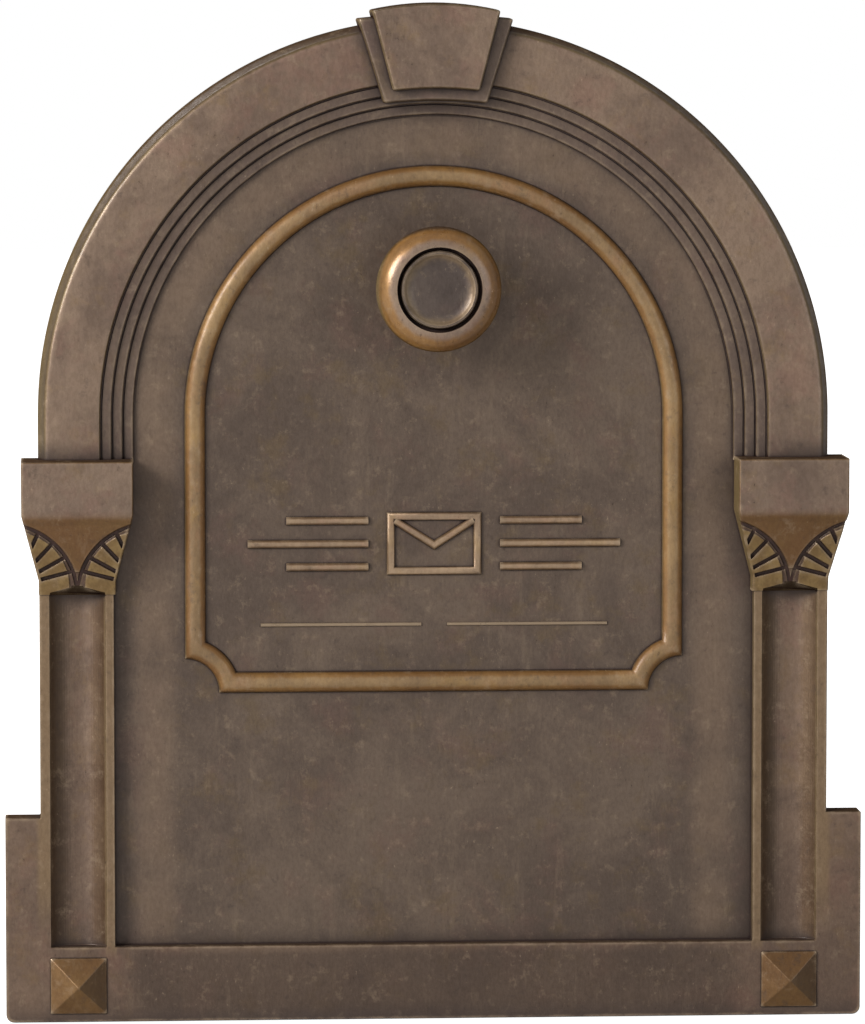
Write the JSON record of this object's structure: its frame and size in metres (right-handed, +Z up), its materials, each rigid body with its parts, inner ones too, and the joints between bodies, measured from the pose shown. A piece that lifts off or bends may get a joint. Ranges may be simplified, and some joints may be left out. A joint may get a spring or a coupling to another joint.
{
  "type": "mailbox",
  "caption": "Arched front-opening mailbox set into a wall: relief-cast door with a round knob, hinged at its foot, over a wall frame and a deep sheet tunnel.",
  "frame": {"origin": "centre of the wall frame's foot strip on its back face, where it lies on the wall", "axes": "+X to the right seen from the front, -Y towards the person at the door, +Y into the wall, +Z up"},
  "size_m": [0.267, 0.51, 0.3162],
  "materials": {
    "bronze_patina": "satin",
    "ochre_bronze": "satin",
    "coated_frame": "matte",
    "coated_sheet": "matte",
    "rubber_trim": "matte",
    "stainless": "satin",
    "stainless_fixings": "satin",
    "zinc_plate": "satin",
    "ferrite": "matte",
    "black_nylon": "matte",
    "grey_nylon": "matte"
  },
  "bodies": {
    "mailbox_body": {"bracket_screw_left_inner": "stainless_fixings", "bracket_screw_left_outer": "stainless_fixings", "bracket_screw_right_inner": "stainless_fixings", "bracket_screw_right_outer": "stainless_fixings", "cap_rivet_left_5": "zinc_plate", "cap_rivet_left_50": "zinc_plate", "cap_rivet_right_5": "zinc_plate", "cap_rivet_right_50": "zinc_plate", "cap_rivet_top": "zinc_plate", "catch_housing": "black_nylon", "catch_magnet": "ferrite", "catch_pole_plate_lower": "zinc_plate", "catch_pole_plate_upper": "zinc_plate", "catch_screw_left": "stainless_fixings", "catch_screw_right": "stainless_fixings", "collar_rivet_left_15": "zinc_plate", "collar_rivet_left_60": "zinc_plate", "collar_rivet_right_15": "zinc_plate", "collar_rivet_right_60": "zinc_plate", "edge_trim": "rubber_trim", "floor_rivet_left_1": "zinc_plate", "floor_rivet_left_2": "zinc_plate", "floor_rivet_left_3": "zinc_plate", "floor_rivet_right_1": "zinc_plate", "floor_rivet_right_2": "zinc_plate", "floor_rivet_right_3": "zinc_plate", "front_frame": "coated_frame", "hinge_bracket_left": "stainless", "hinge_bracket_right": "stainless", "hinge_clip_left": "zinc_plate", "hinge_clip_right": "zinc_plate", "hinge_pin_left": "stainless", "hinge_pin_right": "stainless", "tunnel_floor": "coated_sheet", "tunnel_rear_cap": "coated_sheet", "tunnel_wrap": "coated_sheet", "wall_plug_high_left": "grey_nylon", "wall_plug_high_right": "grey_nylon", "wall_plug_low_left": "grey_nylon", "wall_plug_low_right": "grey_nylon", "wall_screw_high_left": "stainless_fixings", "wall_screw_high_right": "stainless_fixings", "wall_screw_low_left": "stainless_fixings", "wall_screw_low_right": "stainless_fixings"},
    "door": {"door_casting": "bronze_patina", "hinge_leaf_left": "stainless", "hinge_leaf_right": "stainless", "knob": "ochre_bronze", "knob_screw": "zinc_plate", "knob_washer": "zinc_plate", "leaf_screw_left_inner": "stainless_fixings", "leaf_screw_left_outer": "stainless_fixings", "leaf_screw_right_inner": "stainless_fixings", "leaf_screw_right_outer": "stainless_fixings", "strike_plate": "zinc_plate", "strike_screw_left": "stainless_fixings", "strike_screw_right": "stainless_fixings"}
  },
  "joints": [
    {"name": "door_hinge", "type": "hinge", "parent": "mailbox_body", "child": "door", "pos_m": [0, -0.01, -0.01], "axis": [1, 0, 0], "range_deg": [0, 90]}
  ]
}
